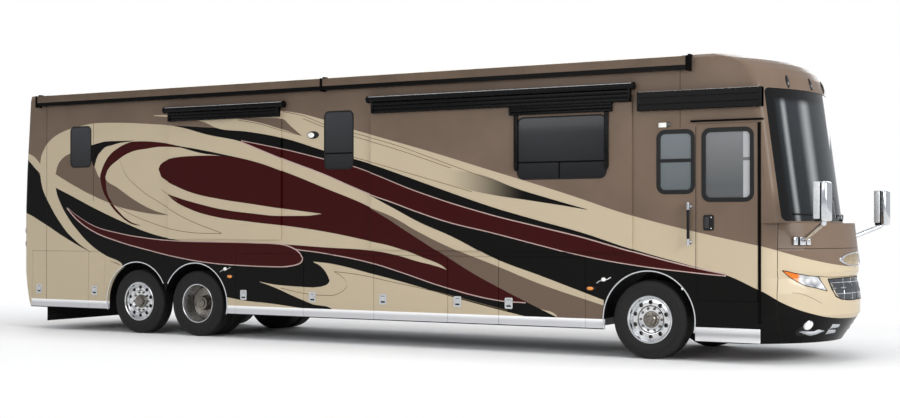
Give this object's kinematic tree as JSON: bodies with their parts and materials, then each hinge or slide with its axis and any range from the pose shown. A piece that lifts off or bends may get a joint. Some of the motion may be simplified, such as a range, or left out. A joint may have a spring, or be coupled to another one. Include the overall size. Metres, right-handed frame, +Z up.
{
  "type": "motorhome",
  "caption": "Long diesel motorhome with a tag axle, sliding rooms, luggage doors, an entry door, steered front wheels and a striped two-tone finish.",
  "frame": {"origin": "on the ground below the middle of the coach", "axes": "+X forward along the coach, +Y to the driver's side (left), +Z up"},
  "size_m": [13.5568, 3.15, 3.99],
  "materials": {
    "body_paint": "gloss",
    "roof_paint": "satin",
    "frame_paint": "satin",
    "cast_iron": "rough",
    "deck": "satin",
    "bay_metal": "satin",
    "dark_glass": "polished",
    "chrome": "polished",
    "lamp_lens": "polished",
    "black_plastic": "matte",
    "rubber": "matte",
    "tyre": "matte",
    "alloy": "polished",
    "seat_leather": "satin",
    "awning_case": "satin"
  },
  "bodies": {
    "coach": {"chassis_frame": "frame_paint", "engine_block": "cast_iron", "front_axle": "frame_paint", "rear_axles": "frame_paint", "floor_deck": "deck", "luggage_bays": "bay_metal", "side_wall_right": "body_paint", "side_wall_left": "body_paint", "roof_shell": "roof_paint", "front_cap": "body_paint", "front_nose": "body_paint", "rear_cap": "body_paint", "glazing": "dark_glass", "grille": "chrome", "lamps": "lamp_lens", "mirrors": "chrome", "bright_trim": "chrome", "wheel_housings": "black_plastic", "rear_flap": "rubber", "roof_vents": "roof_paint", "dashboard": "black_plastic", "seats": "seat_leather", "wall_awnings": "awning_case"},
    "knuckle_right": {"knuckle_right": "cast_iron"},
    "front_wheel_right": {"wheel_front_right": "alloy", "tyre_front_right": "tyre"},
    "tag_wheel_right": {"wheel_tag_right": "alloy", "tyre_tag_right": "tyre"},
    "drive_wheels_right": {"wheels_drive_right": "alloy", "tyres_drive_right": "tyre"},
    "knuckle_left": {"knuckle_left": "cast_iron"},
    "front_wheel_left": {"wheel_front_left": "alloy", "tyre_front_left": "tyre"},
    "tag_wheel_left": {"wheel_tag_left": "alloy", "tyre_tag_left": "tyre"},
    "drive_wheels_left": {"wheels_drive_left": "alloy", "tyres_drive_left": "tyre"},
    "entry_door": {"entry_door": "body_paint", "entry_door_window": "dark_glass"},
    "bay_door_right_1": {"bay_door_right_1": "body_paint"},
    "bay_door_right_2": {"bay_door_right_2": "body_paint"},
    "bay_door_right_3": {"bay_door_right_3": "body_paint"},
    "bay_door_right_4": {"bay_door_right_4": "body_paint"},
    "bay_door_right_5": {"bay_door_right_5": "body_paint"},
    "bay_door_right_6": {"bay_door_right_6": "body_paint"},
    "bay_door_right_7": {"bay_door_right_7": "body_paint"},
    "bay_door_left_1": {"bay_door_left_1": "body_paint"},
    "bay_door_left_2": {"bay_door_left_2": "body_paint"},
    "bay_door_left_3": {"bay_door_left_3": "body_paint"},
    "bay_door_left_4": {"bay_door_left_4": "body_paint"},
    "bay_door_left_5": {"bay_door_left_5": "body_paint"},
    "engine_door": {"engine_door": "body_paint"},
    "room_right_front": {"room_right_front": "body_paint", "awning_right_front": "awning_case", "room_window_right_front": "dark_glass"},
    "room_right_rear": {"room_right_rear": "body_paint", "awning_right_rear": "awning_case"},
    "room_left": {"room_left": "body_paint", "awning_left": "awning_case", "room_window_left": "dark_glass"}
  },
  "joints": [
    {"name": "steer_right", "type": "hinge", "parent": "coach", "child": "knuckle_right", "pos_m": [4.455, -0.905, 0.505], "axis": [0, 0, 1], "range_deg": [-40, 40]},
    {"name": "front_wheel_right_spin", "type": "hinge", "parent": "knuckle_right", "child": "front_wheel_right", "pos_m": [4.455, -1.105, 0.505], "axis": [0, 1, 0], "continuous": true},
    {"name": "tag_wheel_right_spin", "type": "hinge", "parent": "coach", "child": "tag_wheel_right", "pos_m": [-4.225, -1.11, 0.505], "axis": [0, 1, 0], "continuous": true},
    {"name": "drive_wheels_right_spin", "type": "hinge", "parent": "coach", "child": "drive_wheels_right", "pos_m": [-3.03, -1.11, 0.505], "axis": [0, 1, 0], "continuous": true},
    {"name": "steer_left", "type": "hinge", "parent": "coach", "child": "knuckle_left", "pos_m": [4.455, 0.905, 0.505], "axis": [0, 0, 1], "range_deg": [-40, 40]},
    {"name": "front_wheel_left_spin", "type": "hinge", "parent": "knuckle_left", "child": "front_wheel_left", "pos_m": [4.455, 1.105, 0.505], "axis": [0, 1, 0], "continuous": true},
    {"name": "tag_wheel_left_spin", "type": "hinge", "parent": "coach", "child": "tag_wheel_left", "pos_m": [-4.225, 1.11, 0.505], "axis": [0, 1, 0], "continuous": true},
    {"name": "drive_wheels_left_spin", "type": "hinge", "parent": "coach", "child": "drive_wheels_left", "pos_m": [-3.03, 1.11, 0.505], "axis": [0, 1, 0], "continuous": true},
    {"name": "entry_door_hinge", "type": "hinge", "parent": "coach", "child": "entry_door", "pos_m": [5.88, -1.268, 0.77], "axis": [0, 0, 1], "range_deg": [0, 95]},
    {"name": "bay_door_right_1_hinge", "type": "hinge", "parent": "coach", "child": "bay_door_right_1", "pos_m": [-5.287, -1.268, 0.36], "axis": [0, 0, 1], "range_deg": [0, 90]},
    {"name": "bay_door_right_2_hinge", "type": "hinge", "parent": "coach", "child": "bay_door_right_2", "pos_m": [-4.937, -1.268, 0.36], "axis": [0, 0, 1], "range_deg": [0, 90]},
    {"name": "bay_door_right_3_hinge", "type": "hinge", "parent": "coach", "child": "bay_door_right_3", "pos_m": [-0.988, -1.268, 0.36], "axis": [0, 0, 1], "range_deg": [0, 90]},
    {"name": "bay_door_right_4_hinge", "type": "hinge", "parent": "coach", "child": "bay_door_right_4", "pos_m": [0.243, -1.268, 0.36], "axis": [0, 0, 1], "range_deg": [0, 90]},
    {"name": "bay_door_right_5_hinge", "type": "hinge", "parent": "coach", "child": "bay_door_right_5", "pos_m": [1.465, -1.268, 0.36], "axis": [0, 0, 1], "range_deg": [0, 90]},
    {"name": "bay_door_right_6_hinge", "type": "hinge", "parent": "coach", "child": "bay_door_right_6", "pos_m": [2.264, -1.268, 0.36], "axis": [0, 0, 1], "range_deg": [0, 90]},
    {"name": "bay_door_right_7_hinge", "type": "hinge", "parent": "coach", "child": "bay_door_right_7", "pos_m": [3.555, -1.268, 0.36], "axis": [0, 0, 1], "range_deg": [0, 90]},
    {"name": "bay_door_left_1_hinge", "type": "hinge", "parent": "coach", "child": "bay_door_left_1", "pos_m": [-5.287, 1.268, 0.36], "axis": [0, 0, -1], "range_deg": [0, 90]},
    {"name": "bay_door_left_2_hinge", "type": "hinge", "parent": "coach", "child": "bay_door_left_2", "pos_m": [-0.807, 1.268, 0.36], "axis": [0, 0, -1], "range_deg": [0, 90]},
    {"name": "bay_door_left_3_hinge", "type": "hinge", "parent": "coach", "child": "bay_door_left_3", "pos_m": [0.647, 1.268, 0.36], "axis": [0, 0, -1], "range_deg": [0, 90]},
    {"name": "bay_door_left_4_hinge", "type": "hinge", "parent": "coach", "child": "bay_door_left_4", "pos_m": [2.101, 1.268, 0.36], "axis": [0, 0, -1], "range_deg": [0, 90]},
    {"name": "bay_door_left_5_hinge", "type": "hinge", "parent": "coach", "child": "bay_door_left_5", "pos_m": [3.555, 1.268, 0.36], "axis": [0, 0, -1], "range_deg": [0, 90]},
    {"name": "engine_door_hinge", "type": "hinge", "parent": "coach", "child": "engine_door", "pos_m": [-6.765, 0, 1.214], "axis": [0, 1, 0], "range_deg": [0, 80]},
    {"name": "room_right_front_slide", "type": "slide", "parent": "coach", "child": "room_right_front", "axis": [0, -1, 0], "range_m": [0, 0.7]},
    {"name": "room_right_rear_slide", "type": "slide", "parent": "coach", "child": "room_right_rear", "axis": [0, -1, 0], "range_m": [0, 0.7]},
    {"name": "room_left_slide", "type": "slide", "parent": "coach", "child": "room_left", "axis": [0, 1, 0], "range_m": [0, 0.7]}
  ],
  "couplings": [
    {"joint": "steer_left", "follows": "steer_right", "ratio": 1}
  ]
}
